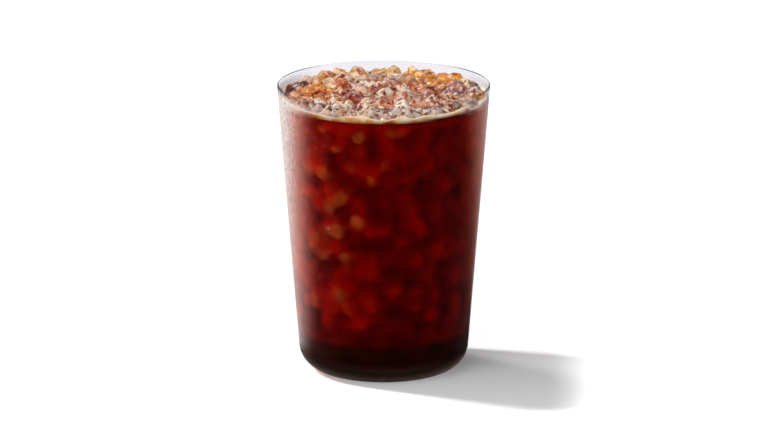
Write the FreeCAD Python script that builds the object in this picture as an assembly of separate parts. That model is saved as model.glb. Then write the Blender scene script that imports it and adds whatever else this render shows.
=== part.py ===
"""A full glass of iced black coffee, in millimetres, +Z up, standing on Z = 0 with its axis on Z.

Four solids, from the table upwards:
  glass     a thin tumbler that widens to its rim, with a rounded foot corner and a flat foot
  coffee    the drink, from the glass's floor up to its level
  crema     the tan foam on the drink, a thin film with a mound at the wall between two pieces of ice
  ice_heap  the pebble ice that stands out of the drink, with a rounded bump for each piece
"""

import FreeCAD
import Part
import math
import os
import random

# --- The glass ---
RIM_DIAMETER = 88.0
GLASS_HEIGHT = 120.8
FOOT_DIAMETER = 69.0  # where the outside of the wall would meet the table if the corner were sharp
WALL = 1.2
BASE_THICKNESS = 3.4
OUTER_CORNER_RADIUS = 10.7
INNER_CORNER_RADIUS = 8.5

# --- The drink and its foam ---
LEVEL_BELOW_RIM = 6.4
WETTING_GAP = 0.05  # between the glass and what fills it, and between the foam and the ice on it
FILM_THICKNESS = 0.8  # the foam away from the wall
BANK_LOW = 1.1  # the foam's height above the drink where a piece of ice presses on the wall
BANK_HIGH = 3.1  # and at the top of the mound half way between two such pieces

# --- The pebble ice that stands out of the drink ---
NUGGET_WIDTH = 11.2
NUGGET_SPREAD = 0.16  # share by which a piece's width and place vary
NUGGET_FLATNESS = 0.78  # a piece's height over its width
RINGS = 4  # rings of pieces round the middle one
WALL_REACH = 3.4  # from the wall to the centres of the outermost ring
EDGE_BELOW_RIM = 2.2  # top of the pieces at the wall
CROWN_BELOW_RIM = 0.9  # top of the pieces in the middle
GAP_BELOW_RIM = 4.2  # how deep the gaps between pieces go
TOP_UNEVENNESS = 0.6
HEAP_SEED = 11

# --- How finely the uneven surfaces are drawn ---
GRID_STEP = 1.7
SURFACE_DEGREE = 3
SKIRT = 30.0  # how far an uneven surface is carried down to make a solid under it

RIM_RADIUS = RIM_DIAMETER / 2
LEVEL = GLASS_HEIGHT - LEVEL_BELOW_RIM


def point(radius, height):
    """A point of a turned outline, in the XZ plane."""
    return FreeCAD.Vector(radius, 0, height)


def arc(centre, radius, start_deg, end_deg):
    """An arc of a turned outline, from one angle to the other. 0 is outwards and 90 is up."""
    places = []
    for share in (0.0, 0.5, 1.0):
        angle = math.radians(start_deg + (end_deg - start_deg) * share)
        places.append(centre + point(radius * math.cos(angle), radius * math.sin(angle)))
    return Part.Arc(*places)


def line(start, end):
    return Part.LineSegment(start, end)


def turned(shapes):
    """The solid that a closed outline of lines and arcs makes when it turns once round Z."""
    wire = Part.Wire([shape.toShape() for shape in shapes])
    turned_shape = Part.Face(wire).revolve(FreeCAD.Vector(0, 0, 0), FreeCAD.Vector(0, 0, 1), 360)
    return Part.Solid(turned_shape.Shells[0])


class WallLine:
    """The straight outline of the wall's outside, tangent to the round lip at the rim."""

    def __init__(self):
        self.lip_radius = WALL / 2
        self.lip_centre = point(RIM_RADIUS - self.lip_radius, GLASS_HEIGHT - self.lip_radius)
        self.foot = point(FOOT_DIAMETER / 2, 0)
        reach = self.lip_centre - self.foot
        lean = math.atan2(reach.x, reach.z) + math.asin(self.lip_radius / reach.Length)
        self.lean_deg = math.degrees(lean)
        self.along = point(math.sin(lean), math.cos(lean))
        self.outwards = point(math.cos(lean), -math.sin(lean))

    def at_height(self, height, inset):
        """The point at this height on the line that lies inset inside the wall's outside."""
        start = self.foot - self.outwards * inset
        return start + self.along * ((height - start.z) / self.along.z)

    def corner(self, height, inset, radius):
        """Where a fillet between a floor at this height and that line starts and ends, and its centre."""
        sharp = self.at_height(height, inset)
        run = radius * math.tan(math.radians(90 - self.lean_deg) / 2)
        return sharp - point(run, 0), sharp + self.along * run, sharp + point(-run, radius)


def make_glass(wall_line):
    """The tumbler: outside, lip, inside and floor in one turned outline."""
    lip, half = wall_line.lip_centre, wall_line.lip_radius
    foot_start, foot_end, foot_centre = wall_line.corner(0, 0, OUTER_CORNER_RADIUS)
    floor_start, floor_end, floor_centre = wall_line.corner(BASE_THICKNESS, WALL, INNER_CORNER_RADIUS)
    lean = wall_line.lean_deg
    return turned(
        [
            line(point(0, 0), foot_start),
            arc(foot_centre, OUTER_CORNER_RADIUS, -90, -lean),
            line(foot_end, lip + wall_line.outwards * half),
            arc(lip, half, -lean, 180 - lean),
            line(lip - wall_line.outwards * half, floor_end),
            arc(floor_centre, INNER_CORNER_RADIUS, -lean, -90),
            line(floor_start, point(0, BASE_THICKNESS)),
            line(point(0, BASE_THICKNESS), point(0, 0)),
        ]
    )


def make_inside(wall_line):
    """All that the glass can hold, WETTING_GAP clear of it, up to the rim."""
    floor = BASE_THICKNESS + WETTING_GAP
    inset = WALL + WETTING_GAP
    floor_start, floor_end, floor_centre = wall_line.corner(floor, inset, INNER_CORNER_RADIUS)
    top = wall_line.at_height(GLASS_HEIGHT, inset)
    return turned(
        [
            line(point(0, floor), floor_start),
            arc(floor_centre, INNER_CORNER_RADIUS, -90, -wall_line.lean_deg),
            line(floor_end, top),
            line(top, point(0, GLASS_HEIGHT)),
            line(point(0, GLASS_HEIGHT), point(0, floor)),
        ]
    )


def slab(bottom, top):
    """A disc wider than the glass, between two heights."""
    return Part.makeCylinder(RIM_DIAMETER, top - bottom, FreeCAD.Vector(0, 0, bottom))


def solid_under(height_at):
    """A block whose top is the smooth surface height_at(x, y), as wide as the rim and SKIRT deep."""
    count = math.ceil(RIM_DIAMETER / GRID_STEP) + 1
    places = [RIM_RADIUS * (2 * i / (count - 1) - 1) * 1.02 for i in range(count)]
    poles = [[FreeCAD.Vector(x, y, height_at(x, y)) for y in places] for x in places]
    spans = count - SURFACE_DEGREE
    knots = [i / spans for i in range(spans + 1)]
    repeats = [SURFACE_DEGREE + 1] + [1] * (spans - 1) + [SURFACE_DEGREE + 1]
    surface = Part.BSplineSurface()
    surface.buildFromPolesMultsKnots(
        poles, repeats, repeats, knots, knots, False, False, SURFACE_DEGREE, SURFACE_DEGREE
    )
    return surface.toShape().extrude(FreeCAD.Vector(0, 0, -SKIRT))


def lay_nuggets(wall_radius):
    """The pieces that show on top, in rings from the middle out, each as (angle, radius, half width, top).

    They are uneven in size and place. One of the outermost ring presses on the front of the wall.
    """
    rng = random.Random(HEAP_SEED)
    outer = wall_radius - WALL_REACH
    rings = []
    for ring in range(RINGS + 1):
        ring_radius = outer * ring / RINGS
        around = max(1, round(2 * math.pi * ring_radius / (NUGGET_WIDTH * 0.96)))
        laid = []
        for i in range(around):
            shift = rng.uniform(-NUGGET_SPREAD, NUGGET_SPREAD) if i else 0.0
            angle = math.radians(-90) + 2 * math.pi * (i + shift) / around
            radius = ring_radius * (1 + rng.uniform(-NUGGET_SPREAD, NUGGET_SPREAD) / RINGS * (ring < RINGS))
            width = NUGGET_WIDTH * (1 + rng.uniform(-NUGGET_SPREAD, NUGGET_SPREAD))
            crown = CROWN_BELOW_RIM + (EDGE_BELOW_RIM - CROWN_BELOW_RIM) * (ring / RINGS) ** 2
            top = GLASS_HEIGHT - crown + rng.uniform(-TOP_UNEVENNESS, TOP_UNEVENNESS)
            laid.append((angle, radius, width / 2, top))
        rings.append(laid)
    return rings


def make_foam(wall_radius, pressing):
    """The film, and a round mound of foam in each gap between the angles where ice presses on the wall."""
    rise = BANK_HIGH - BANK_LOW
    mounds = []
    for start, end in zip(pressing, pressing[1:] + [pressing[0] + 2 * math.pi]):
        half_gap = wall_radius * (end - start) / 2
        radius = (half_gap**2 + rise**2) / (2 * rise)
        middle = (start + end) / 2
        centre = FreeCAD.Vector(
            wall_radius * math.cos(middle), wall_radius * math.sin(middle), LEVEL + BANK_HIGH - radius
        )
        mounds.append(Part.makeSphere(radius, centre))
    return slab(LEVEL - FILM_THICKNESS, LEVEL + FILM_THICKNESS).multiFuse(mounds)


def ice_surface(rings):
    """The height of the ice's top: the highest of the rounded pieces, or the gap between them."""
    nuggets = []
    for laid in rings:
        for angle, radius, half_width, top in laid:
            nuggets.append((radius * math.cos(angle), radius * math.sin(angle), half_width, top))

    def height_at(x, y):
        highest = GLASS_HEIGHT - GAP_BELOW_RIM
        for centre_x, centre_y, half_width, top in nuggets:
            share = math.hypot(x - centre_x, y - centre_y) / half_width
            if share < 1:
                dip = half_width * NUGGET_FLATNESS * (1 - math.sqrt(1 - share * share))
                highest = max(highest, top - dip)
        return highest

    return height_at


def only_solid(shape):
    """The one solid of a boolean's result."""
    return max(shape.Solids, key=lambda solid: solid.Volume)


def main():
    wall_line = WallLine()
    wall_radius = wall_line.at_height(LEVEL, WALL + WETTING_GAP).x
    inside = make_inside(wall_line)
    above_level = inside.common(slab(LEVEL, GLASS_HEIGHT))
    rings = lay_nuggets(wall_radius)
    foam = make_foam(wall_radius, [nugget[0] for nugget in rings[-1]])
    ice = above_level.common(solid_under(ice_surface(rings)))
    pieces = {
        "glass": make_glass(wall_line),
        "coffee": only_solid(inside.common(slab(0, LEVEL))),
        "crema": only_solid(above_level.common(foam)),
        "ice_heap": only_solid(ice.cut(foam.translated(FreeCAD.Vector(0, 0, WETTING_GAP)))),
    }
    os.makedirs("parts", exist_ok=True)
    for name, solid in pieces.items():
        solid.exportStep(os.path.join("parts", name + ".step"))
        box = solid.optimalBoundingBox(False)
        print(
            f"{name}: valid {solid.isValid()}, volume {solid.Volume / 1000:.2f} ml, "
            f"radius {box.XMax:.2f}, z {box.ZMin:.2f} to {box.ZMax:.2f}"
        )


main()
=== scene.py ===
import math
import random

import bpy
from mathutils import Euler, Matrix, Vector


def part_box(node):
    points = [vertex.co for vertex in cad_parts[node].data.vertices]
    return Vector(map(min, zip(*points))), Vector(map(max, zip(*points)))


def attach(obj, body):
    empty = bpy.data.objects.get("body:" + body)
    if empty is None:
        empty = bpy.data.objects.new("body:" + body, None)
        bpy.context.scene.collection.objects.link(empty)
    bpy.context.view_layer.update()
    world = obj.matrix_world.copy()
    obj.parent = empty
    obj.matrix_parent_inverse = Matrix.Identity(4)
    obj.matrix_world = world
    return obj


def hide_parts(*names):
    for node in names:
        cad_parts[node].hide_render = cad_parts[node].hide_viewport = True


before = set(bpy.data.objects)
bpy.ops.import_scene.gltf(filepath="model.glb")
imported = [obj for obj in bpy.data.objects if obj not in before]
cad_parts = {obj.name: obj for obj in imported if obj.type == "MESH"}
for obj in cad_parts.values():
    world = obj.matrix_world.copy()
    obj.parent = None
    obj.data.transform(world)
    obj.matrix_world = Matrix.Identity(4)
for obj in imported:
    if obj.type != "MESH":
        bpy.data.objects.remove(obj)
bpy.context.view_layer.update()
MM = 0.001


# --- The tumbler ---
# A tall drinking glass of soda-lime glass, pressed thin and fire-polished, so that its lip is round.
# It widens evenly to the rim, and a large round corner takes the wall into a flat foot.

glass_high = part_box("glass")[1]
RIM_RADIUS = glass_high.x
GLASS_HEIGHT = glass_high.z
FOOT_RADIUS = 34.5 * MM  # where the wall's outside would meet the table if the corner were sharp
WALL = 1.2 * MM
BASE_THICKNESS = 3.4 * MM
OUTER_CORNER_RADIUS = 10.7 * MM
INNER_CORNER_RADIUS = 8.5 * MM
BARE_WALL_FROM = 114.6 * MM  # above this height no drink wets the inside of the wall
GLASS_STEPS = 224
CORNER_STEPS = 14
LIP_STEPS = 8

lip_radius = WALL / 2
lip_centre = Vector((RIM_RADIUS - lip_radius, GLASS_HEIGHT - lip_radius))
lip_reach = lip_centre - Vector((FOOT_RADIUS, 0))
LEAN = math.atan2(lip_reach.x, lip_reach.y) + math.asin(lip_radius / lip_reach.length)


def wall_radius(height, inset):
    """The radius at this height of the face that lies inset inside the wall's outside."""
    return FOOT_RADIUS + height * math.tan(LEAN) - inset / math.cos(LEAN)


def arc(centre, radius, start, end, steps):
    """Corners of an arc in the (radius, height) plane, its ends included. Angle 0 is outwards."""
    corners = []
    for i in range(steps + 1):
        angle = start + (end - start) * i / steps
        corners.append((centre[0] + radius * math.cos(angle), centre[1] + radius * math.sin(angle)))
    return corners


def corner_arc(floor, inset, radius, steps):
    """The round corner between a floor at this height and the wall's face at this inset."""
    run = radius * math.tan(math.radians(45) - LEAN / 2)
    centre = (wall_radius(floor, inset) - run, floor + radius)
    return arc(centre, radius, math.radians(-90), -LEAN, steps)


def turn_on_z(name, outline, steps):
    """A body of revolution: a corner drawn out along (radius, height) places, then spun once round."""
    bpy.ops.object.select_all(action="DESELECT")
    bpy.ops.mesh.primitive_plane_add(size=2 * MM)
    body = bpy.context.object
    body.name = body.data.name = name
    bpy.ops.object.mode_set(mode="EDIT")
    bpy.ops.mesh.merge(type="CENTER")
    bpy.ops.transform.translate(value=(outline[0][0], 0, outline[0][1]))
    for (radius, height), (next_radius, next_height) in zip(outline, outline[1:]):
        step = (next_radius - radius, 0, next_height - height)
        bpy.ops.mesh.extrude_region_move(TRANSFORM_OT_translate={"value": step})
    bpy.ops.mesh.select_all(action="SELECT")
    bpy.ops.mesh.spin(steps=steps, angle=2 * math.pi, center=(0, 0, 0), axis=(0, 0, 1))
    bpy.ops.mesh.select_all(action="SELECT")
    bpy.ops.mesh.remove_doubles(threshold=0.001 * MM)
    bpy.ops.mesh.normals_make_consistent(inside=False)
    bpy.ops.object.mode_set(mode="OBJECT")
    bpy.ops.object.shade_smooth_by_angle(angle=math.radians(40))
    return body


def linear(colour_hex):
    """A colour written as sRGB hex, as the linear values that a shader takes."""
    channels = [int(colour_hex[i : i + 2], 16) / 255 for i in (0, 2, 4)]
    return [c / 12.92 if c <= 0.04045 else ((c + 0.055) / 1.055) ** 2.4 for c in channels] + [1.0]


def new_material(name):
    """An empty node material with only its output."""
    material = bpy.data.materials.new(name)
    material.use_nodes = True
    material.node_tree.nodes.clear()
    return material, material.node_tree, material.node_tree.nodes.new("ShaderNodeOutputMaterial")


def add(tree, kind, inputs=(), **settings):
    """Adds a node. Settings are its properties or its inputs by name, and inputs are pairs of an input
    and the socket that feeds it, or the value it holds."""
    made = tree.nodes.new(kind)
    for key, value in settings.items():
        if hasattr(made, key):
            setattr(made, key, value)
        else:
            made.inputs[key.replace("_", " ")].default_value = value
    for target, source in inputs:
        if isinstance(source, bpy.types.NodeSocket):
            tree.links.new(source, made.inputs[target])
        else:
            made.inputs[target].default_value = source
    return made


def let_lamps_through(tree, surface, colour, output):
    """Shows the surface, and lets the lamps' light pass it tinted instead of casting a hard shadow."""
    passed = add(tree, "ShaderNodeBsdfTransparent", Color=linear(colour))
    ray = add(tree, "ShaderNodeLightPath")
    mixed = add(
        tree,
        "ShaderNodeMixShader",
        [(0, ray.outputs["Is Shadow Ray"]), (1, surface.outputs[0]), (2, passed.outputs[0])],
    )
    tree.links.new(mixed.outputs[0], output.inputs["Surface"])


def finish_piece(piece, slot, *nodes):
    """Fixes the piece to the glass in place of these CAD nodes. The slot is not used."""
    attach(piece, "root")
    if nodes:
        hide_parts(*nodes)


tumbler = turn_on_z(
    "tumbler",
    [(0, 0)]
    + corner_arc(0, 0, OUTER_CORNER_RADIUS, CORNER_STEPS)
    + [(wall_radius(BARE_WALL_FROM, 0), BARE_WALL_FROM)]
    + arc(lip_centre, lip_radius, -LEAN, math.pi - LEAN, LIP_STEPS)
    + [(wall_radius(BARE_WALL_FROM, WALL), BARE_WALL_FROM)]
    + corner_arc(BASE_THICKNESS, WALL, INNER_CORNER_RADIUS, CORNER_STEPS)[::-1]
    + [(0, BASE_THICKNESS)],
    GLASS_STEPS,
)

# Soda-lime glass: clear, very slightly green and smooth, with the finest breath of fog on its outside.
glass_material, tree, output = new_material("soda_lime_glass")
clear_glass = add(
    tree,
    "ShaderNodeBsdfPrincipled",
    Base_Color=linear("FBFEFD"),
    Roughness=0.01,
    IOR=1.5,
    Transmission_Weight=1.0,
    Sheen_Weight=0.1,
    Sheen_Roughness=0.35,
)
let_lamps_through(tree, clear_glass, "F7FAF9", output)
tumbler.data.materials.append(glass_material)

# The bare wall above the drink is so thin and even that it bends nothing: it dims what is behind it by a
# few percent, faintly bluish, and mirrors only where it is seen edge on.
EDGE_SHARPNESS = 20.0
thin_material, tree, output = new_material("thin_clear_wall")
weight = add(tree, "ShaderNodeLayerWeight", Blend=0.5)
edge_on = add(
    tree, "ShaderNodeMath", [(0, weight.outputs["Facing"]), (1, EDGE_SHARPNESS)], operation="POWER"
)
dimming = add(
    tree,
    "ShaderNodeMix",
    [(0, edge_on.outputs[0]), (6, linear("F2F1F4")), (7, linear("A8A8AC"))],
    data_type="RGBA",
)
pass_through = add(tree, "ShaderNodeBsdfTransparent", [("Color", dimming.outputs[2])])
mirror = add(tree, "ShaderNodeBsdfAnisotropic", Roughness=0.02)
mirror_share = add(
    tree, "ShaderNodeMapRange", [("Value", edge_on.outputs[0])], To_Min=0.03, To_Max=0.2
)
mixed = add(
    tree,
    "ShaderNodeMixShader",
    [(0, mirror_share.outputs[0]), (1, pass_through.outputs[0]), (2, mirror.outputs[0])],
)
tree.links.new(mixed.outputs[0], output.inputs["Surface"])
tumbler.data.materials.append(thin_material)

# The fire-polished lip is a round bead, which gathers light from far aside. That is dark at the left and
# right ends of the rim, and more so towards the back, so the rim is drawn there as a thin dark line:
# painted shade, set by place on the lip, that darkens what the lip lets through.
lip_material, tree, output = new_material("fire_polished_lip")
where = add(tree, "ShaderNodeTexCoord")
axes = add(tree, "ShaderNodeSeparateXYZ", [(0, where.outputs["Object"])])
aside = add(tree, "ShaderNodeMath", [(0, axes.outputs["X"])], operation="ABSOLUTE")
behind = add(tree, "ShaderNodeMath", [(0, axes.outputs["Y"]), (1, 0.25)], operation="MULTIPLY")
around = add(tree, "ShaderNodeMath", [(0, aside.outputs[0]), (1, behind.outputs[0])], operation="ADD")
# Painted shade: the lip's tint darkens towards its left, right and back ends.
painted_dark_share = add(
    tree,
    "ShaderNodeMapRange",
    [("Value", around.outputs[0])],
    interpolation_type="SMOOTHSTEP",
    From_Min=32 * MM,
    From_Max=45 * MM,
)
lip_painted_shade = add(
    tree,
    "ShaderNodeMix",
    [(0, painted_dark_share.outputs[0]), (6, linear("ECEBEE")), (7, linear("2C2A2C"))],
    data_type="RGBA",
)
pass_through = add(tree, "ShaderNodeBsdfTransparent", [("Color", lip_painted_shade.outputs[2])])
mirror = add(tree, "ShaderNodeBsdfAnisotropic", Roughness=0.02)
mixed = add(
    tree, "ShaderNodeMixShader", [(1, pass_through.outputs[0]), (2, mirror.outputs[0])], Fac=0.04
)
tree.links.new(mixed.outputs[0], output.inputs["Surface"])
tumbler.data.materials.append(lip_material)

# Slot 0 is the wall that the drink wets, 1 the bare wall and 2 the outer half of the lip.
for face in tumbler.data.polygons:
    radius = math.hypot(face.center.x, face.center.y)
    if radius > lip_centre.x and face.center.z > lip_centre.y:
        face.material_index = 2
    elif face.center.z > BARE_WALL_FROM:
        face.material_index = 1
    else:
        face.material_index = 0
finish_piece(tumbler, "glass", "glass")


# --- The coffee ---
# Espresso let down with iced water, poured into the glass. It is clear, and so deep in colour that a few
# millimetres turn white light amber, a centimetre turns it red and the middle of the glass is black.

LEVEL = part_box("coffee")[1].z
WETTING = 0.15 * MM  # how far the drink reaches into the wall, so that no air shows between them
RED_LOSS = 80.0  # light lost on the way through, per metre
GREEN_LOSS = 900.0
BLUE_LOSS = 1500.0

coffee_inset = WALL - WETTING
coffee_floor = BASE_THICKNESS - WETTING
coffee = turn_on_z(
    "iced_coffee",
    [(0, coffee_floor)]
    + corner_arc(coffee_floor, coffee_inset, INNER_CORNER_RADIUS, CORNER_STEPS)
    + [(wall_radius(LEVEL, coffee_inset), LEVEL), (0, LEVEL)],
    GLASS_STEPS,
)

# Black coffee: a clear liquid whose colour comes from the light lost in it, a little hazy with fine oils.
coffee_material, tree, output = new_material("black_coffee")
drink = add(
    tree,
    "ShaderNodeBsdfPrincipled",
    Base_Color=linear("FFFFFF"),
    Roughness=0.15,
    IOR=1.33,
    Transmission_Weight=1.0,
)
let_lamps_through(tree, drink, "FFFFFF", output)
loss = add(
    tree,
    "ShaderNodeVolumeAbsorption",
    Color=(1 - RED_LOSS / BLUE_LOSS, 1 - GREEN_LOSS / BLUE_LOSS, 0.0, 1.0),
    Density=BLUE_LOSS,
)
tree.links.new(loss.outputs[0], output.inputs["Volume"])
coffee.data.materials.append(coffee_material)
finish_piece(coffee, "coffee", "coffee")


# --- The ice sunk in the drink ---
# Pebble ice: soft pellets about a centimetre long, pressed from flaked ice, that have begun to melt into
# each other. They float, so the lowest part of the drink has none. What lies deeper than a few
# millimetres behind the glass is one dark core, because the coffee lets no light through there.

PELLET_WIDTH = 11.0 * MM
PELLET_SPREAD = 0.3  # share by which a pellet's size varies
LAYER_SPACING = 0.6  # shares of a pellet's width, upwards and round the wall
ROW_SPACING = 0.72
LEFT_BEARING = math.radians(222)  # where the most pellets press on the glass
PRESSED = (-1.3, 0.4)  # how far a pellet stands back from the glass in mm, pressed on it or not
STANDING_BACK = (1.3, 3.3)
ICE_FREE_HEIGHT = 20.0 * MM
CORE_INSET = 6.6 * MM
CORE_FLOOR = 4.6 * MM
LOW_INSET = 1.35 * MM  # the dark drink under the ice hides all but this much
LOW_TOP = 16 * MM  # where the core starts to draw in from the low inset, and where it has
CORE_BOTTOM = 23 * MM
CORE_SHOULDER = 9 * MM  # how far below the drink's level the core widens again, to meet the foam
TOP_INSET = 1.9 * MM
CORE_RISE = 2 * MM  # the core's top stands over the level by this before its edges are softened
MELT_GRAIN = 1.1 * MM  # how finely the melted surface is drawn
SHAPES = 8
rng = random.Random(4)


def make_pellet(name, subdivisions, width, seed, crumbs=0.0):
    """One pellet at the origin: a ball squeezed along two axes, made lumpy and then crumbly."""
    bpy.ops.object.select_all(action="DESELECT")
    bpy.ops.mesh.primitive_ico_sphere_add(subdivisions=subdivisions, radius=width / 2)
    pellet = bpy.context.object
    pellet.name = name
    shaper = random.Random(seed)
    bpy.ops.object.mode_set(mode="EDIT")
    bpy.ops.transform.resize(value=(1.12, shaper.uniform(0.85, 1.0), shaper.uniform(0.7, 0.9)))
    bpy.ops.object.mode_set(mode="OBJECT")
    # Each kind of unevenness has a grain and a strength, as shares of the pellet's width.
    for kind, grain_size, strength in (("lumps", 0.42, 0.34), ("crumbs", 0.16, crumbs)):
        if not strength:
            continue
        lumps = bpy.data.textures.new(f"{name}_{kind}", "CLOUDS")
        lumps.noise_scale = grain_size * width
        lumps.noise_depth = 1
        place = bpy.data.objects.new(f"{name}_{kind}_place", None)
        place.location = (seed * 31 * MM, 0, 0)
        bpy.context.scene.collection.objects.link(place)
        displace = pellet.modifiers.new(kind, "DISPLACE")
        displace.texture = lumps
        displace.texture_coords = "OBJECT"
        displace.texture_coords_object = place
        displace.mid_level = 0.5
        displace.strength = strength * width
        bpy.context.view_layer.update()
        bpy.ops.object.modifier_apply(modifier=kind)
        bpy.data.objects.remove(place)
        bpy.data.textures.remove(lumps)
    bpy.ops.object.shade_smooth()
    return pellet


def lay_copies(name, shapes, places):
    """Copies of the shapes, each with its own mesh, at (place, turn, scale), joined to one piece."""
    bpy.ops.object.select_all(action="DESELECT")
    copies = []
    for i, (place, turn, scale) in enumerate(places):
        copy = shapes[i % len(shapes)].copy()
        copy.data = copy.data.copy()
        copy.matrix_world = Matrix.LocRotScale(place, turn, Vector((scale, scale, scale)))
        bpy.context.scene.collection.objects.link(copy)
        copy.select_set(True)
        copies.append(copy)
    for shape in shapes:
        bpy.data.objects.remove(shape)
    bpy.context.view_layer.objects.active = copies[0]
    bpy.ops.object.join()
    bpy.ops.object.transform_apply(location=True, rotation=True, scale=True)
    joined = bpy.context.object
    joined.name = joined.data.name = name
    return joined


def any_turn(dice):
    """A random turn."""
    return Euler([dice.uniform(0, 2 * math.pi) for _ in range(3)]).to_quaternion()


shapes = [make_pellet(f"sunk_pellet_{i}", 2, PELLET_WIDTH, 11 + i) for i in range(SHAPES)]
places = []
layers = int((LEVEL - ICE_FREE_HEIGHT) / (LAYER_SPACING * PELLET_WIDTH))
for layer in range(layers):
    height = ICE_FREE_HEIGHT + (layer + 0.5) * (LEVEL - ICE_FREE_HEIGHT - 2 * MM) / layers
    layer_radius = wall_radius(height, WALL) - 0.5 * PELLET_WIDTH
    around = int(2 * math.pi * layer_radius / (ROW_SPACING * PELLET_WIDTH))
    start = rng.uniform(0, 2 * math.pi)
    for i in range(around):
        angle = start + 2 * math.pi * (i + rng.uniform(-0.35, 0.35)) / around
        scale = 1 + rng.uniform(-PELLET_SPREAD, 0.5 * PELLET_SPREAD)
        # On the left, and under the foam, more of them press on the glass.
        leftness = max(0.0, math.cos(angle - LEFT_BEARING))
        under_foam = 0.9 if layer == layers - 1 and math.cos(angle) < 0.4 else 0.0
        if layer >= layers - 3 and leftness > 0.6:
            under_foam += 0.4
        chance = 0.03 + 0.9 * leftness**6 + under_foam
        sink = rng.uniform(*STANDING_BACK) if rng.random() > chance else rng.uniform(*PRESSED)
        sink += max(0.0, 1.5 - layer)
        radius = layer_radius - sink * MM + (1 - scale) * PELLET_WIDTH / 2
        lift = rng.uniform(-0.3, 0.3) * PELLET_WIDTH
        place = Vector((radius * math.cos(angle), radius * math.sin(angle), height + lift))
        place.z = min(max(place.z, ICE_FREE_HEIGHT), LEVEL - 0.4 * PELLET_WIDTH)
        places.append((place, any_turn(rng), scale))
pellets = lay_copies("pellets", shapes, places)
core = turn_on_z(
    "core",
    [(0, CORE_FLOOR)]
    + corner_arc(CORE_FLOOR, LOW_INSET, INNER_CORNER_RADIUS, 6)
    + [(wall_radius(LOW_TOP, LOW_INSET), LOW_TOP), (wall_radius(CORE_BOTTOM, CORE_INSET), CORE_BOTTOM)]
    + [(wall_radius(LEVEL, CORE_INSET), LEVEL - CORE_SHOULDER)]
    + [(wall_radius(LEVEL, TOP_INSET), LEVEL + CORE_RISE), (0, LEVEL + CORE_RISE)],
    64,
)
bpy.ops.object.select_all(action="DESELECT")
core.select_set(True)
pellets.select_set(True)
bpy.context.view_layer.objects.active = pellets
bpy.ops.object.join()
sunk_ice = bpy.context.object
sunk_ice.name = sunk_ice.data.name = "sunk_ice"
melt = sunk_ice.modifiers.new("melt", "REMESH")
melt.mode = "VOXEL"
melt.voxel_size = MELT_GRAIN
bpy.ops.object.modifier_apply(modifier="melt")
soften = sunk_ice.modifiers.new("soften", "SMOOTH")
soften.factor = 0.5
soften.iterations = 9
bpy.ops.object.modifier_apply(modifier="soften")
bpy.ops.object.shade_smooth()


def press_on_wall(piece, clearance):
    """Flattens what would reach through the wall, as a pellet pressed on the glass is."""
    for vertex in piece.data.vertices:
        radius = math.hypot(vertex.co.x, vertex.co.y)
        limit = wall_radius(vertex.co.z, WALL) - clearance
        if radius > limit:
            vertex.co.x *= limit / radius
            vertex.co.y *= limit / radius


press_on_wall(sunk_ice, 0.15 * MM)
for vertex in sunk_ice.data.vertices:
    vertex.co.z = min(vertex.co.z, LEVEL - 0.2 * MM)
depth = sunk_ice.data.attributes.new("depth", "FLOAT", "POINT")
for i, vertex in enumerate(sunk_ice.data.vertices):
    behind = wall_radius(vertex.co.z, WALL) - math.hypot(vertex.co.x, vertex.co.y)
    depth.data[i].value = min(1.0, max(0.0, behind / CORE_INSET))

# Ice soaked with coffee: cloudy, its pores filled with the drink. It is painted amber at the glass and
# redder and darker with depth, painted shade for the light that the drink takes away.
STAIN_GRAIN = 8 * MM
CRUMB_GRAIN = 1.5 * MM
sunk_material, tree, output = new_material("coffee_soaked_ice")
where = add(tree, "ShaderNodeTexCoord")
stain = add(
    tree, "ShaderNodeTexNoise", [("Vector", where.outputs["Object"])], Scale=1 / STAIN_GRAIN, Detail=1.0
)
crumbs = add(
    tree, "ShaderNodeTexNoise", [("Vector", where.outputs["Object"])], Scale=1 / CRUMB_GRAIN, Detail=3.0
)
how_deep = add(tree, "ShaderNodeAttribute", attribute_name="depth")
# Close to the glass its crumbs show, painted with more or less of the depth shade as if some were deeper
# than others.
uneven = add(
    tree,
    "ShaderNodeMapRange",
    [("Value", crumbs.outputs["Fac"])],
    From_Min=0.35,
    From_Max=0.62,
    To_Min=0.34,
    To_Max=-0.02,
)
close = add(
    tree, "ShaderNodeMapRange", [("Value", how_deep.outputs["Fac"])], From_Min=0.3, From_Max=0.08
)
crumbly = add(
    tree, "ShaderNodeMath", [(0, uneven.outputs[0]), (1, close.outputs[0])], operation="MULTIPLY"
)
unevenly_deep = add(
    tree, "ShaderNodeMath", [(0, how_deep.outputs["Fac"]), (1, crumbly.outputs[0])], operation="ADD"
)
# Painted shade: the deeper behind the glass, the darker and redder the ice is painted, on top of what the
# drink takes.
depth_shade_colour = add(tree, "ShaderNodeValToRGB", [("Fac", unevenly_deep.outputs[0])])
ramp = depth_shade_colour.color_ramp
ramp.elements[0].position, ramp.elements[0].color = 0.0, linear("C06418")
ramp.elements[1].position, ramp.elements[1].color = 1.0, linear("742018")
for position, colour in ((0.12, "B85024"), (0.36, "D06038"), (0.65, "B84828")):
    ramp.elements.new(position).color = linear(colour)
shading = add(
    tree,
    "ShaderNodeMapRange",
    [("Value", stain.outputs["Fac"])],
    From_Min=0.36,
    From_Max=0.64,
    To_Min=0.6,
    To_Max=1.14,
)
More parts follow.
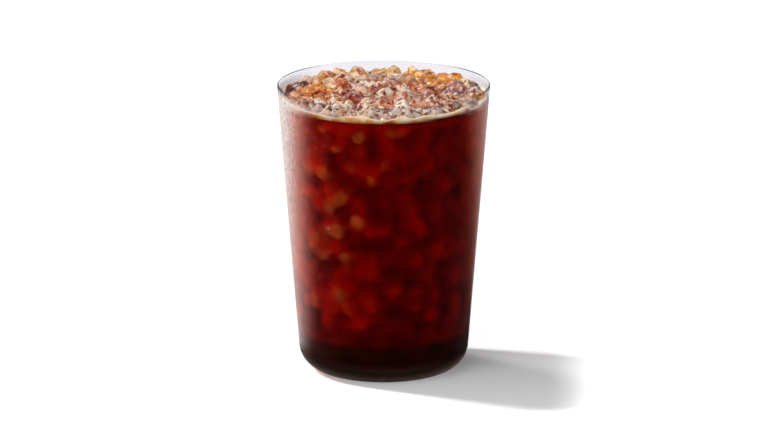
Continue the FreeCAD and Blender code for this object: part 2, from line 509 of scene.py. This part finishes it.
# The lowest part of the drink has no ice, and there the core is painted nearly black: painted shade for the
# deep drink.
axes = add(tree, "ShaderNodeSeparateXYZ", [(0, where.outputs["Object"])])
painted_dark_below_ice = add(
    tree,
    "ShaderNodeMapRange",
    [("Value", axes.outputs["Z"])],
    From_Min=16 * MM,
    From_Max=24 * MM,
    To_Min=0.05,
)
lightness = add(
    tree, "ShaderNodeMath", [(0, shading.outputs[0]), (1, painted_dark_below_ice.outputs[0])], operation="MULTIPLY"
)
stain_colour = add(
    tree,
    "ShaderNodeVectorMath",
    [(0, depth_shade_colour.outputs["Color"]), ("Scale", lightness.outputs[0])],
    operation="SCALE",
)
bump = add(tree, "ShaderNodeBump", [("Height", crumbs.outputs["Fac"])], Strength=0.5, Distance=0.5 * MM)
soaked = add(
    tree,
    "ShaderNodeBsdfPrincipled",
    [("Base Color", stain_colour.outputs[0]), ("Normal", bump.outputs["Normal"])],
    Roughness=0.7,
    IOR=1.31,
    Specular_IOR_Level=0.1,
)
tree.links.new(soaked.outputs[0], output.inputs["Surface"])
sunk_ice.data.materials.append(sunk_material)
finish_piece(sunk_ice, "coffee")


# --- The bubbles ---
# Air that comes out of the melting ice. A few fine bubbles, under half a millimetre across, cling to the
# inside of the wall.

BUBBLE_RADIUS = 0.2 * MM
BUBBLES = 150
rng = random.Random(17)
bpy.ops.object.select_all(action="DESELECT")
bpy.ops.mesh.primitive_ico_sphere_add(subdivisions=1, radius=BUBBLE_RADIUS)
bpy.ops.object.shade_smooth()
bubble = bpy.context.object
places = []
for _ in range(BUBBLES):
    height = rng.uniform(24 * MM, LEVEL - 2 * MM)
    angle = math.radians(rng.uniform(0, 360))
    radius = wall_radius(height, WALL) - 1.5 * BUBBLE_RADIUS
    place = Vector((radius * math.cos(angle), radius * math.sin(angle), height))
    places.append((place, any_turn(rng), rng.uniform(0.4, 1.0)))
bubbles = lay_copies("bubbles", [bubble], places)

# Air bubbles in coffee: each is drawn as an opaque pale amber ball, a painted glint for the light that a
# bubble mirrors.
bubble_material, tree, output = new_material("air_bubbles")
painted_glint = add(tree, "ShaderNodeBsdfPrincipled", Base_Color=linear("F0C8A0"), Roughness=0.1)
tree.links.new(painted_glint.outputs[0], output.inputs["Surface"])
bubbles.data.materials.append(bubble_material)
finish_piece(bubbles, "foam")


# --- The foam ---
# Crema: the fine tan foam of the espresso. It is a film on the drink that banks up against the wall
# where two pieces of ice leave a gap, amber and thin below and cream where its crest dries on the glass.

FILM = 0.8 * MM
FOAM_DEPTH = 0.5 * MM  # how far the foam hangs into the drink
FOAM_STEPS = 360
# Height of the crest above the drink in mm, at angles counted from the front to the right.
CRESTS = (
    (-180, 1.4), (-163, 2.9), (-150, 1.3), (-138, 2.7), (-124, 1.2), (-110, 2.5), (-96, 1.5), (-82, 2.2),
    (-68, 1.7), (-52, 1.6), (-40, 1.5), (-29, 0.7), (-20, 2.1), (-11.5, 2.7), (-5, 1.5), (0, 0.5),
    (5, 1.6), (10.5, 2.7), (17, 1.3), (23, 2.3), (33, 1.9), (43, 1.9), (52.5, 2.9), (58, 1.4),
    (63, 0.9), (74, 2.2), (88, 1.2), (102, 2.6), (117, 1.2), (132, 2.8), (146, 1.3), (160, 2.5),
    (180, 1.4),
)
BANK_ROWS = (0.0, 0.35, 0.7, 0.88, 1.0)  # rows of the bank's face on the wall, as shares of its height
FILM_ROWS = (3.5, 6, 9, 13, 18, 24, 31)  # rows of the film, in mm in from the wall


def crest_height(angle):
    """The crest's height above the drink at an angle in degrees, eased between the listed heights."""
    for (start, low), (end, high) in zip(CRESTS, CRESTS[1:]):
        if start <= angle <= end:
            share = (1 - math.cos(math.pi * (angle - start) / (end - start))) / 2
            return (low + (high - low) * share) * MM
    return CRESTS[0][1] * MM


foam_radius = wall_radius(LEVEL, coffee_inset)
foam = turn_on_z(
    "foam",
    [(0, LEVEL - FOAM_DEPTH), (foam_radius - 0.4 * MM, LEVEL - FOAM_DEPTH)]
    + [(foam_radius, LEVEL + row * FILM) for row in BANK_ROWS]
    + [(foam_radius - 0.7 * MM, LEVEL + 0.98 * FILM), (foam_radius - 1.8 * MM, LEVEL + 0.8 * FILM)]
    + [(foam_radius - inwards * MM, LEVEL + 0.75 * FILM) for inwards in FILM_ROWS]
    + [(0, LEVEL + 0.75 * FILM)],
    FOAM_STEPS,
)
crest_share = foam.data.attributes.new("crest", "FLOAT", "POINT")
wet_share = foam.data.attributes.new("wet", "FLOAT", "POINT")
for i, vertex in enumerate(foam.data.vertices):
    radius = math.hypot(vertex.co.x, vertex.co.y)
    above = (vertex.co.z - LEVEL) / FILM
    bearing = math.degrees(math.atan2(vertex.co.x, -vertex.co.y))
    # On the right its foot is soaked with the drink.
    on_right = min(1.0, max(0.0, (bearing - 4) / 28))
    wet_share.data[i].value = on_right * max(0.0, 1 - 1.5 * max(0.0, above))
    if radius > foam_radius - 2.5 * MM and above > 0.01:
        crest = crest_height(bearing)
        lifted = LEVEL + above * crest
        widened = wall_radius(lifted, coffee_inset) / wall_radius(LEVEL, coffee_inset)
        vertex.co = (vertex.co.x * widened, vertex.co.y * widened, lifted)
        crest_share.data[i].value = max(0.0, above) ** 3

# Espresso foam: bubbles too fine to see, satin, blotched brown, amber and cream over a few millimetres.
FOAM_BLOTCH = 7 * MM
foam_material, tree, output = new_material("espresso_foam")
where = add(tree, "ShaderNodeTexCoord")
blotch = add(
    tree, "ShaderNodeTexNoise", [("Vector", where.outputs["Object"])], Scale=1 / FOAM_BLOTCH, Detail=3.0
)
foam_colour = add(tree, "ShaderNodeValToRGB", [("Fac", blotch.outputs["Fac"])])
ramp = foam_colour.color_ramp
ramp.elements[0].position, ramp.elements[0].color = 0.30, linear("8A3414")
ramp.elements[1].position, ramp.elements[1].color = 0.66, linear("F0DCC0")
for position, colour in ((0.40, "C8691C"), (0.48, "DDA050"), (0.56, "E8C898")):
    ramp.elements.new(position).color = linear(colour)
crest = add(tree, "ShaderNodeAttribute", attribute_name="crest")
pale_crest = add(
    tree,
    "ShaderNodeMix",
    [(0, crest.outputs["Fac"]), (6, foam_colour.outputs["Color"]), (7, linear("FBE8C8"))],
    data_type="RGBA",
)
wet = add(tree, "ShaderNodeAttribute", attribute_name="wet")
soaked_foot = add(
    tree,
    "ShaderNodeMix",
    [(0, wet.outputs["Fac"]), (6, pale_crest.outputs[2]), (7, linear("601404"))],
    data_type="RGBA",
)
froth = add(
    tree,
    "ShaderNodeBsdfPrincipled",
    [("Base Color", soaked_foot.outputs[2])],
    Roughness=0.4,
    IOR=1.33,
)
tree.links.new(froth.outputs[0], output.inputs["Surface"])
foam.data.materials.append(foam_material)
finish_piece(foam, "foam", "crema")


# --- The ice above the drink ---
# The same pebble ice where it stands out of the drink: wet, with clear pieces at the back and cloudy,
# crumbly ones in front, and stained where the espresso was poured over it.

TOP_WIDTH = 10.2 * MM
TOP_RINGS = 4
TOP_SPACING = 0.76  # along a ring, as a share of a piece's width
TOP_REACH = 4.6 * MM  # from the wall to the centres of the outermost ring
CLEAR_FROM = 10 * MM  # behind this line most pieces are clear, and in front of it few are
# Where the espresso stained the ice: place in mm, reach in mm and colour.
STAINS = (
    ((-23, 14), 7, "F4E0C8"), ((-9, 14), 8, "F0E0D0"), ((0, 34), 9, "ECD4A4"), ((-14, 30), 7, "E8D8C0"),
    ((-27, 7), 8, "E8A020"), ((-25, -9), 9, "CC7418"), ((-37, 13), 9, "7A3424"), ((-41, 1), 6, "80402C"),
    ((-13, -12), 8, "A8401C"), ((-16, 5), 4, "B85C30"), ((-1, -1), 7, "B06048"), ((9, 7), 8, "D07414"),
    ((25, 20), 9, "E0A030"), ((30, 11), 6, "DCA848"), ((31, -2), 8, "A87878"), ((41, 7), 6, "6C3C34"),
    ((15, 30), 8, "E8C080"), ((19, -10), 8, "C89080"), ((4, -19), 7, "C88060"), ((32, -20), 9, "D0B8A4"),
    ((-33, -22), 7, "C89070"), ((-24, -33), 8, "F0E0D0"), ((-9, -37), 8, "F6E4CC"), ((8, -36), 9, "F6ECDC"),
    ((22, -33), 8, "F0E4D4"),
)
PLAIN_ICE = ("F6E0C4", "E8C494", "DCA468", "D08C58", "FAF0E0")
rng = random.Random(21)

stain_spots = [(x * MM, y * MM, reach * MM, Vector(linear(colour))) for (x, y), reach, colour in STAINS]
under_drink = Vector(linear("A85428"))


def stain_at(place, plain):
    """The colour of the ice at this place: plain, or stained the more, the nearer it is to a stain."""
    colour = plain
    for x, y, reach, stain in stain_spots:
        share = 1 - ((place.x - x) ** 2 + (place.y - y) ** 2) / (reach * reach)
        if share > 0:
            colour = colour.lerp(stain, min(1.0, 2.4 * share))
    soaked = min(1.0, max(0.0, (LEVEL + 0.6 * MM - place.z) / MM))
    return colour.lerp(under_drink, soaked)


clear_places, cloudy_places = [], []
outer = wall_radius(LEVEL, WALL) - TOP_REACH
for ring in range(TOP_RINGS + 1):
    ring_radius = outer * ring / TOP_RINGS
    around = max(1, round(2 * math.pi * ring_radius / (TOP_WIDTH * TOP_SPACING)))
    for i in range(around):
        angle = -math.pi / 2 + 2 * math.pi * (i + rng.uniform(-0.18, 0.18)) / around
        inner_ring = ring < TOP_RINGS
        radius = ring_radius + (rng.uniform(-1.4, 1.4) if inner_ring else rng.uniform(-0.8, 0.1)) * MM
        scale = 1 + rng.uniform(-0.22, 0.2)
        below_rim = (1.2 + 1.0 * (ring / TOP_RINGS) ** 2 + rng.uniform(-0.6, 1.2)) * MM
        height = GLASS_HEIGHT - below_rim - 0.44 * TOP_WIDTH * scale
        place = Vector((radius * math.cos(angle), radius * math.sin(angle), height))
        is_clear = rng.random() < (0.8 if place.y > CLEAR_FROM else 0.15)
        (clear_places if is_clear else cloudy_places).append((place, any_turn(rng), scale))


def lay_stained(name, places, crumbs):
    """Pellets joined to one piece, which keeps the stain at each of its points as an attribute."""
    shapes = [make_pellet(f"{name}_{i}", 4, TOP_WIDTH, 41 + i, crumbs) for i in range(SHAPES)]
    joined = lay_copies(name, shapes, places)
    stain = joined.data.color_attributes.new("stain", "FLOAT_COLOR", "POINT")
    corners_each = len(joined.data.vertices) // len(places)
    for first in range(0, len(joined.data.vertices), corners_each):
        plain = Vector(linear(rng.choice(PLAIN_ICE)))
        for i in range(first, first + corners_each):
            stain.data[i].color = stain_at(joined.data.vertices[i].co, plain)
    return joined


clear_ice = lay_stained("clear_ice", clear_places, 0.1)
cloudy_ice = lay_stained("cloudy_ice", cloudy_places, 0.22)
for ice in (clear_ice, cloudy_ice):
    press_on_wall(ice, 0.1 * MM)
    # What would hang into the drink is drawn up, nearly flat, under the foam.
    for vertex in ice.data.vertices:
        sunk = LEVEL - 0.3 * MM - vertex.co.z
        vertex.co.z += 0.95 * max(0.0, sunk)

# The smaller core under the pieces: more of the ice, soaked dark, that shows in the gaps between them.
HEAP_CORE_RISE = 2.2 * MM
core_edge = outer + 1.5 * MM
heap_core_top = LEVEL + HEAP_CORE_RISE
ice_core = turn_on_z(
    "ice_core",
    [(0, LEVEL)]
    + [(share * core_edge, LEVEL) for share in (0.2, 0.4, 0.6, 0.8, 1.0)]
    + [(share * core_edge, heap_core_top) for share in (1.0, 0.85, 0.7, 0.55, 0.4, 0.25, 0.1)]
    + [(0, heap_core_top)],
    96,
)
rough_top = ice_core.modifiers.new("rough_top", "REMESH")
rough_top.mode = "VOXEL"
rough_top.voxel_size = 0.8 * MM
bpy.ops.object.modifier_apply(modifier="rough_top")
core_lumps = bpy.data.textures.new("core_lumps", "CLOUDS")
core_lumps.noise_scale = 4 * MM
lumpy = ice_core.modifiers.new("lumpy", "DISPLACE")
lumpy.texture = core_lumps
lumpy.texture_coords = "GLOBAL"
lumpy.direction = "Z"
lumpy.mid_level = 0.5
lumpy.strength = 3.2 * MM
bpy.ops.object.modifier_apply(modifier="lumpy")
bpy.data.textures.remove(core_lumps)
bpy.ops.object.shade_smooth()
stain = ice_core.data.color_attributes.new("stain", "FLOAT_COLOR", "POINT")
for i, vertex in enumerate(ice_core.data.vertices):
    # Counted as above the drink all over, so that only the stains colour it.
    stain.data[i].color = stain_at(vertex.co + Vector((0, 0, LEVEL)), Vector(linear("C06828")))


def stained_colour(tree, size, hollow_below, highlight_above):
    """The stain with painted highlights on the crests, darkened in the hollows by the coffee in them and by
    painted shade, and the relief that makes these.
    """
    where = add(tree, "ShaderNodeTexCoord")
    stain = add(tree, "ShaderNodeAttribute", attribute_name="stain")
    relief = add(
        tree,
        "ShaderNodeTexNoise",
        [("Vector", where.outputs["Object"])],
        Scale=1 / size,
        Detail=2.0,
        Distortion=0.6,
    )
    # Coffee in the hollows darkens them, and so does painted shade.
    hollow = add(
        tree,
        "ShaderNodeMapRange",
        [("Value", relief.outputs["Fac"])],
        From_Min=hollow_below + 0.02,
        From_Max=hollow_below - 0.04,
        To_Max=0.9,
    )
    # Painted highlight: the crests are painted nearly white.
    crest = add(
        tree,
        "ShaderNodeMapRange",
        [("Value", relief.outputs["Fac"])],
        From_Min=highlight_above - 0.02,
        From_Max=highlight_above + 0.05,
        To_Max=0.95,
    )
    with_painted_highlights = add(
        tree,
        "ShaderNodeMix",
        [(0, crest.outputs[0]), (6, stain.outputs["Color"]), (7, linear("FFF8EC"))],
        data_type="RGBA",
    )
    darker = add(
        tree,
        "ShaderNodeMix",
        [(0, hollow.outputs[0]), (6, with_painted_highlights.outputs[2]), (7, linear("7C3420"))],
        data_type="RGBA",
        blend_type="MULTIPLY",
    )
    return darker, relief


# Soaked ice: opaque with coffee, and glossy with the film of water on it.
core_material, tree, output = new_material("soaked_ice_core")
colour, relief = stained_colour(tree, 3.2 * MM, 0.49, 0.64)
soaked = add(
    tree, "ShaderNodeBsdfPrincipled", [("Base Color", colour.outputs[2])], Roughness=0.15, IOR=1.33
)
tree.links.new(soaked.outputs[0], output.inputs["Surface"])
ice_core.data.materials.append(core_material)
finish_piece(ice_core, "ice")

# Clear ice, wet and melted smooth. Its edges bend the light of the dark drink towards the eye, so each
# piece has a dark outline, which is painted into its colour where it is seen edge on.
clear_material, tree, output = new_material("wet_clear_ice")
colour, relief = stained_colour(tree, 2.8 * MM, 0.42, 0.6)
weight = add(tree, "ShaderNodeLayerWeight", Blend=0.5)
painted_outline_share = add(
    tree,
    "ShaderNodeMapRange",
    [("Value", weight.outputs["Facing"])],
    From_Min=0.6,
    From_Max=0.9,
    To_Max=0.8,
)
painted_outline_colour = add(
    tree,
    "ShaderNodeMix",
    [(0, painted_outline_share.outputs[0]), (6, colour.outputs[2]), (7, linear("4A1C12"))],
    data_type="RGBA",
)
bump = add(tree, "ShaderNodeBump", [("Height", relief.outputs["Fac"])], Strength=0.7, Distance=0.8 * MM)
wet_ice = add(
    tree,
    "ShaderNodeBsdfPrincipled",
    [("Normal", bump.outputs["Normal"]), ("Base Color", painted_outline_colour.outputs[2])],
    Roughness=0.03,
    IOR=1.31,
    Transmission_Weight=0.7,
    Subsurface_Weight=1.0,
    Subsurface_Radius=(1.0, 1.0, 1.0),
    Subsurface_Scale=2.5 * MM,
)
let_lamps_through(tree, wet_ice, "E4CCA8", output)
clear_ice.data.materials.append(clear_material)
finish_piece(clear_ice, "ice", "ice_heap")

# Cloudy ice: pressed flakes with air between them, which scatter light within a few millimetres.
cloudy_material, tree, output = new_material("wet_cloudy_ice")
colour, relief = stained_colour(tree, 2.1 * MM, 0.44, 0.58)
bump = add(tree, "ShaderNodeBump", [("Height", relief.outputs["Fac"])], Strength=1.0, Distance=0.9 * MM)
cloudy = add(
    tree,
    "ShaderNodeBsdfPrincipled",
    [("Normal", bump.outputs["Normal"]), ("Base Color", colour.outputs[2])],
    Roughness=0.05,
    IOR=1.31,
    Transmission_Weight=0.4,
    Subsurface_Weight=1.0,
    Subsurface_Radius=(1.0, 1.0, 1.0),
    Subsurface_Scale=2.0 * MM,
)
let_lamps_through(tree, cloudy, "D8B088", output)
cloudy_ice.data.materials.append(cloudy_material)
finish_piece(cloudy_ice, "ice")


# --- The condensation ---
# Moist air has fogged the cold glass on its left side, most of all near the rim, and a little at the right
# edge; its white at these edges is partly painted sheen. It is a film of water drops too fine to see, drawn
# as a sheet just outside the wall.

FOG_STAND_OFF = 0.02 * MM
FOG_ROWS = (20, 45, 70, 95, 120)  # heights in mm
fog = turn_on_z(
    "condensation",
    corner_arc(0, -FOG_STAND_OFF, OUTER_CORNER_RADIUS, 6)
    + [(wall_radius(height * MM, -FOG_STAND_OFF), height * MM) for height in FOG_ROWS],
    GLASS_STEPS,
)

# Condensation: matt white where it is thick, and thickest at the left and right edges, where its white is
# partly painted sheen, the light that fogged glass catches edge on. Thin fog is painted with the red of the
# drink behind it: painted light passing through.
FOG_GRAIN = 0.8 * MM
fog_material, tree, output = new_material("condensation_fog")
where = add(tree, "ShaderNodeTexCoord")
axes = add(tree, "ShaderNodeSeparateXYZ", [(0, where.outputs["Object"])])
on_left = add(
    tree,
    "ShaderNodeMapRange",
    [("Value", axes.outputs["X"])],
    interpolation_type="SMOOTHSTEP",
    From_Min=-25 * MM,
    From_Max=-45 * MM,
)
on_right = add(
    tree,
    "ShaderNodeMapRange",
    [("Value", axes.outputs["X"])],
    interpolation_type="SMOOTHSTEP",
    From_Min=30 * MM,
    From_Max=47 * MM,
    To_Max=0.8,
)
aside = add(
    tree, "ShaderNodeMath", [(0, on_left.outputs[0]), (1, on_right.outputs[0])], operation="MAXIMUM"
)
upwards = add(
    tree,
    "ShaderNodeMapRange",
    [("Value", axes.outputs["Z"])],
    From_Min=2 * MM,
    From_Max=50 * MM,
    To_Max=0.9,
)
# Painted light: thin fog takes the red of the drink behind it; thick fog is white, partly painted sheen.
mist_and_painted_light = add(tree, "ShaderNodeValToRGB", [("Fac", aside.outputs[0])])
ramp = mist_and_painted_light.color_ramp
ramp.elements[0].position, ramp.elements[0].color = 0.0, linear("981C0C")
ramp.elements[1].position, ramp.elements[1].color = 0.88, linear("E8DAD6")
for position, colour in ((0.15, "B03820"), (0.5, "E09080")):
    ramp.elements.new(position).color = linear(colour)
above_drink = add(
    tree,
    "ShaderNodeMapRange",
    [("Value", axes.outputs["Z"])],
    From_Min=LEVEL - 1 * MM,
    From_Max=LEVEL + 2 * MM,
)
fog_painted_colour = add(
    tree,
    "ShaderNodeMix",
    [(0, above_drink.outputs[0]), (6, mist_and_painted_light.outputs["Color"]), (7, linear("EAE0DA"))],
    data_type="RGBA",
)
streaks = add(tree, "ShaderNodeMapping", [("Vector", where.outputs["Object"])], Scale=(1, 1, 0.5))
grain = add(
    tree, "ShaderNodeTexNoise", [("Vector", streaks.outputs[0])], Scale=1 / FOG_GRAIN, Detail=3.0
)
spots = add(
    tree,
    "ShaderNodeMapRange",
    [("Value", grain.outputs["Fac"])],
    From_Min=0.38,
    From_Max=0.62,
    To_Min=0.55,
)
under_rim = add(
    tree,
    "ShaderNodeMapRange",
    [("Value", axes.outputs["Z"])],
    From_Min=120 * MM,
    From_Max=117.5 * MM,
)
along_wall = add(
    tree, "ShaderNodeMath", [(0, upwards.outputs[0]), (1, under_rim.outputs[0])], operation="MULTIPLY"
)
fog_and_painted_sheen = add(
    tree, "ShaderNodeMath", [(0, aside.outputs[0]), (1, along_wall.outputs[0])], operation="MULTIPLY"
)
share = add(
    tree, "ShaderNodeMath", [(0, fog_and_painted_sheen.outputs[0]), (1, spots.outputs[0])], operation="MULTIPLY"
)
mist = add(tree, "ShaderNodeBsdfDiffuse", [("Color", fog_painted_colour.outputs[2])])
nothing = add(tree, "ShaderNodeBsdfTransparent")
mixed = add(
    tree, "ShaderNodeMixShader", [(0, share.outputs[0]), (1, nothing.outputs[0]), (2, mist.outputs[0])]
)
tree.links.new(mixed.outputs[0], output.inputs["Surface"])
fog.data.materials.append(fog_material)
finish_piece(fog, "glass")


# --- The dew ---
# The drops of the condensation that have grown large enough to see: half a millimetre across, flat on
# the glass, a little drawn down by their weight, and closest together on the left.

DROP_WIDTH = 0.5 * MM
DROP_SHAPE = (0.5, 1.0, 1.15)  # out from the wall, along it and down it, as shares of the width
DROPS_ON_LEFT = 3600
DROPS_ELSEWHERE = 900
rng = random.Random(8)
bpy.ops.object.select_all(action="DESELECT")
bpy.ops.mesh.primitive_ico_sphere_add(subdivisions=1, radius=DROP_WIDTH / 2)
drop = bpy.context.object
bpy.ops.object.mode_set(mode="EDIT")
bpy.ops.mesh.select_all(action="SELECT")
bpy.ops.transform.resize(value=DROP_SHAPE)
bpy.ops.mesh.bisect(plane_co=(-0.05 * MM, 0, 0), plane_no=(1, 0, 0), clear_inner=True, use_fill=True)
bpy.ops.object.mode_set(mode="OBJECT")
bpy.ops.object.shade_smooth()
places = []
for i in range(DROPS_ON_LEFT + DROPS_ELSEWHERE):
    on_left = i < DROPS_ON_LEFT
    bearing = math.radians(rng.gauss(205, 22) if on_left else rng.uniform(0, 360))
    height = (12 + 102 * (rng.random() ** (0.75 if on_left else 1.0))) * MM
    radius = wall_radius(height, 0)
    turn = Euler((0, LEAN, bearing)).to_quaternion()
    place = Vector((radius * math.cos(bearing), radius * math.sin(bearing), height))
    places.append((place, turn, rng.uniform(0.45, 1.0) * (1.0 if on_left else 0.7)))
dew = lay_copies("dew", [drop], places)

# Water: clear, smooth and round enough to catch a spark of the lamps.
dew_material, tree, output = new_material("water_drops")
water = add(
    tree,
    "ShaderNodeBsdfPrincipled",
    Base_Color=linear("FFFFFF"),
    Roughness=0.0,
    IOR=1.33,
    Transmission_Weight=1.0,
)
let_lamps_through(tree, water, "FFFFFF", output)
dew.data.materials.append(dew_material)
finish_piece(dew, "glass")


# --- The floor ---
# A white sweep that takes the shadow. The glass mirrors and bends a studio that is pale on the left and
# behind, and dark elsewhere; under the foot it is painted dark, a painted shadow seen in the glass.

BRIGHT_SIDE = (-0.45, 0.9, 0)
scene = bpy.context.scene
bpy.ops.object.select_all(action="DESELECT")
bpy.ops.mesh.primitive_plane_add(size=12)
floor = bpy.context.object
floor.name = "floor"
floor_material, tree, output = new_material("white_floor")
paint = add(tree, "ShaderNodeBsdfDiffuse", Color=(0.96, 0.96, 0.96, 1))
where = add(tree, "ShaderNodeTexCoord")
axes = add(tree, "ShaderNodeSeparateXYZ", [(0, where.outputs["Object"])])
ray = add(tree, "ShaderNodeLightPath")
# Painted light: a glow that only the camera sees washes the shadow out towards the viewer and at its far
# end.
nearer = add(
    tree,
    "ShaderNodeMapRange",
    [("Value", axes.outputs["Y"])],
    From_Min=25 * MM,
    From_Max=-80 * MM,
    To_Min=0.03,
    To_Max=0.3,
)
farther = add(
    tree,
    "ShaderNodeMapRange",
    [("Value", axes.outputs["X"])],
    interpolation_type="SMOOTHSTEP",
    From_Min=66 * MM,
    From_Max=100 * MM,
    To_Max=0.7,
)
painted_light_wash = add(tree, "ShaderNodeMath", [(0, nearer.outputs[0]), (1, farther.outputs[0])], operation="ADD")
to_camera = add(
    tree, "ShaderNodeMath", [(0, painted_light_wash.outputs[0]), (1, ray.outputs["Is Camera Ray"])], operation="MULTIPLY"
)
glow = add(tree, "ShaderNodeEmission", [("Strength", to_camera.outputs[0])], Color=(1, 1, 1, 1))
lit = add(tree, "ShaderNodeAddShader", [(0, paint.outputs[0]), (1, glow.outputs[0])])
outwards = add(tree, "ShaderNodeVectorMath", [(0, where.outputs["Object"])], operation="NORMALIZE")
towards_bright = add(
    tree, "ShaderNodeVectorMath", [(0, outwards.outputs[0]), (1, BRIGHT_SIDE)], operation="DOT_PRODUCT"
)
bright_share = add(
    tree,
    "ShaderNodeMapRange",
    [("Value", towards_bright.outputs["Value"])],
    interpolation_type="SMOOTHSTEP",
    From_Min=0.3,
    From_Max=0.95,
    To_Min=0.0005,
    To_Max=0.84,
)
reach = add(tree, "ShaderNodeVectorMath", [(0, where.outputs["Object"])], operation="LENGTH")
# Painted shadow: seen in the glass, the floor round and under the foot is dark.
clear_of_foot = add(
    tree, "ShaderNodeMapRange", [("Value", reach.outputs["Value"])], From_Min=44 * MM, From_Max=60 * MM
)
studio_level = add(
    tree,
    "ShaderNodeMath",
    [(0, bright_share.outputs[0]), (1, clear_of_foot.outputs[0])],
    operation="MULTIPLY",
)
# A painted glow, seen only in the glass, stands for light that leaks in under the rounded edge of the foot.
over_foot = add(tree, "ShaderNodeMapRange", [("Value", reach.outputs["Value"])], From_Max=50 * MM)
painted_leak_glow = add(tree, "ShaderNodeValToRGB", [("Fac", over_foot.outputs[0])])
ramp = painted_leak_glow.color_ramp
ramp.elements[0].position, ramp.elements[0].color = 0.4, (0, 0, 0, 1)
ramp.elements[1].position, ramp.elements[1].color = 0.9, (0, 0, 0, 1)
for position, level in ((0.56, 0.03), (0.64, 0.2), (0.7, 0.12)):
    ramp.elements.new(position).color = (level, 0.6 * level, 0.5 * level, 1)
bounced = add(
    tree,
    "ShaderNodeMath",
    [(0, ray.outputs["Is Glossy Ray"]), (1, ray.outputs["Is Transmission Ray"])],
    operation="MAXIMUM",
)
pale_studio = add(tree, "ShaderNodeEmission", [("Strength", studio_level.outputs[0])], Color=(1, 1, 1, 1))
leaked = add(tree, "ShaderNodeEmission", [("Color", painted_leak_glow.outputs["Color"])], Strength=1.0)
seen_in_glass = add(tree, "ShaderNodeAddShader", [(0, pale_studio.outputs[0]), (1, leaked.outputs[0])])
shown = add(
    tree,
    "ShaderNodeMixShader",
    [(0, bounced.outputs[0]), (1, lit.outputs[0]), (2, seen_in_glass.outputs[0])],
)
tree.links.new(shown.outputs[0], output.inputs["Surface"])
floor.data.materials.append(floor_material)


# --- The surroundings ---
# White to the viewer. What the glass mirrors is pale on the bright side and overhead, what it bends is
# pale nearly all round, and the light that they give the object is weak and comes from the left.

world = bpy.data.worlds.new("studio")
scene.world = world
world.use_nodes = True
world.cycles.sampling_method = "NONE"
tree = world.node_tree
tree.nodes.clear()
output = tree.nodes.new("ShaderNodeOutputWorld")
where = add(tree, "ShaderNodeTexCoord")
ray = add(tree, "ShaderNodeLightPath")


def ramp_to(side, start, end, low, high):
    """A level that rises with the ray's turn towards a side, from low at start to high at end."""
    turned = add(
        tree, "ShaderNodeVectorMath", [(0, where.outputs["Generated"]), (1, side)], operation="DOT_PRODUCT"
    )
    return add(
        tree,
        "ShaderNodeMapRange",
        [("Value", turned.outputs["Value"])],
        interpolation_type="SMOOTHSTEP",
        From_Min=start,
        From_Max=end,
        To_Min=low,
        To_Max=high,
    )


beside = ramp_to(BRIGHT_SIDE, 0.3, 0.95, 0.0005, 0.9)
above = ramp_to((0, 0, 1), 0.3, 0.8, 0.0, 1.1)
mirrored = add(
    tree, "ShaderNodeMath", [(0, beside.outputs[0]), (1, above.outputs[0])], operation="MAXIMUM"
)
seen_through = ramp_to((-0.6, 0.8, 0), -0.7, 0.5, 0.7, 1.0)
level = ramp_to((-1, 0, 0), -0.5, 0.9, 0.05, 0.25)
for kind, seen in (
    ("Is Glossy Ray", mirrored.outputs[0]),
    ("Is Transmission Ray", seen_through.outputs[0]),
    ("Is Camera Ray", 1.0),
):
    level = add(
        tree, "ShaderNodeMix", [(0, ray.outputs[kind]), (2, level.outputs[0]), (3, seen)], data_type="FLOAT"
    )
sky = add(tree, "ShaderNodeBackground", [("Strength", level.outputs[0])], Color=(1, 1, 1, 1))
tree.links.new(sky.outputs[0], output.inputs["Surface"])


# --- The lamps and the camera ---
# One soft key lamp from the left and a little behind, and a weaker one nearer the back, which lengthens
# the shadow towards the viewer. Two wide soft fills from the front light the drink through the glass,
# which doesn't mirror them.

KEY_BEARING = math.radians(20)  # how far behind the left side it stands
KEY_HEIGHT = math.radians(57)


def hang_sun(name, towards, strength, spread, in_glass=True):
    """A far lamp that shines from this side, as wide as this spread in degrees."""
    lamp = bpy.data.lights.new(name, "SUN")
    lamp.energy = strength
    lamp.angle = math.radians(spread)
    sun = bpy.data.objects.new(name, lamp)
    sun.location = Vector(towards)
    sun.rotation_euler = sun.location.to_track_quat("Z", "Y").to_euler()
    sun.visible_glossy = sun.visible_transmission = in_glass
    scene.collection.objects.link(sun)


towards_key = (
    -math.cos(KEY_BEARING) * math.cos(KEY_HEIGHT),
    math.sin(KEY_BEARING) * math.cos(KEY_HEIGHT),
    math.sin(KEY_HEIGHT),
)
hang_sun("key", towards_key, 2.35, 5)
hang_sun("back_key", (-0.3, 0.3, 0.92), 0.6, 8)
hang_sun("fill", (-0.5, -0.8, 0.14), 2.7, 60, in_glass=False)
hang_sun("side_fill", (0.8, -0.55, 0.12), 1.5, 60, in_glass=False)

# A long lens from far off, shifted a little to set the glass in the frame.
ELEVATION = math.radians(14.565)
DISTANCE = 2.4
camera_data = bpy.data.cameras.new("camera")
camera = bpy.data.objects.new("camera", camera_data)
scene.collection.objects.link(camera)
aim = Vector((0, 0, GLASS_HEIGHT / 2))
back = Vector((0, -math.cos(ELEVATION), math.sin(ELEVATION)))
camera.location = aim + back * DISTANCE
camera.rotation_euler = (-back).to_track_quat("-Z", "Y").to_euler()
camera_data.sensor_width = 36.0
camera_data.lens = 270.4
camera_data.shift_x = 0.0011
camera_data.shift_y = 0.0069
camera_data.clip_end = 50
scene.camera = camera

scene.view_settings.view_transform = "Standard"
scene.cycles.max_bounces = 24
scene.cycles.transmission_bounces = 24
scene.cycles.transparent_max_bounces = 24
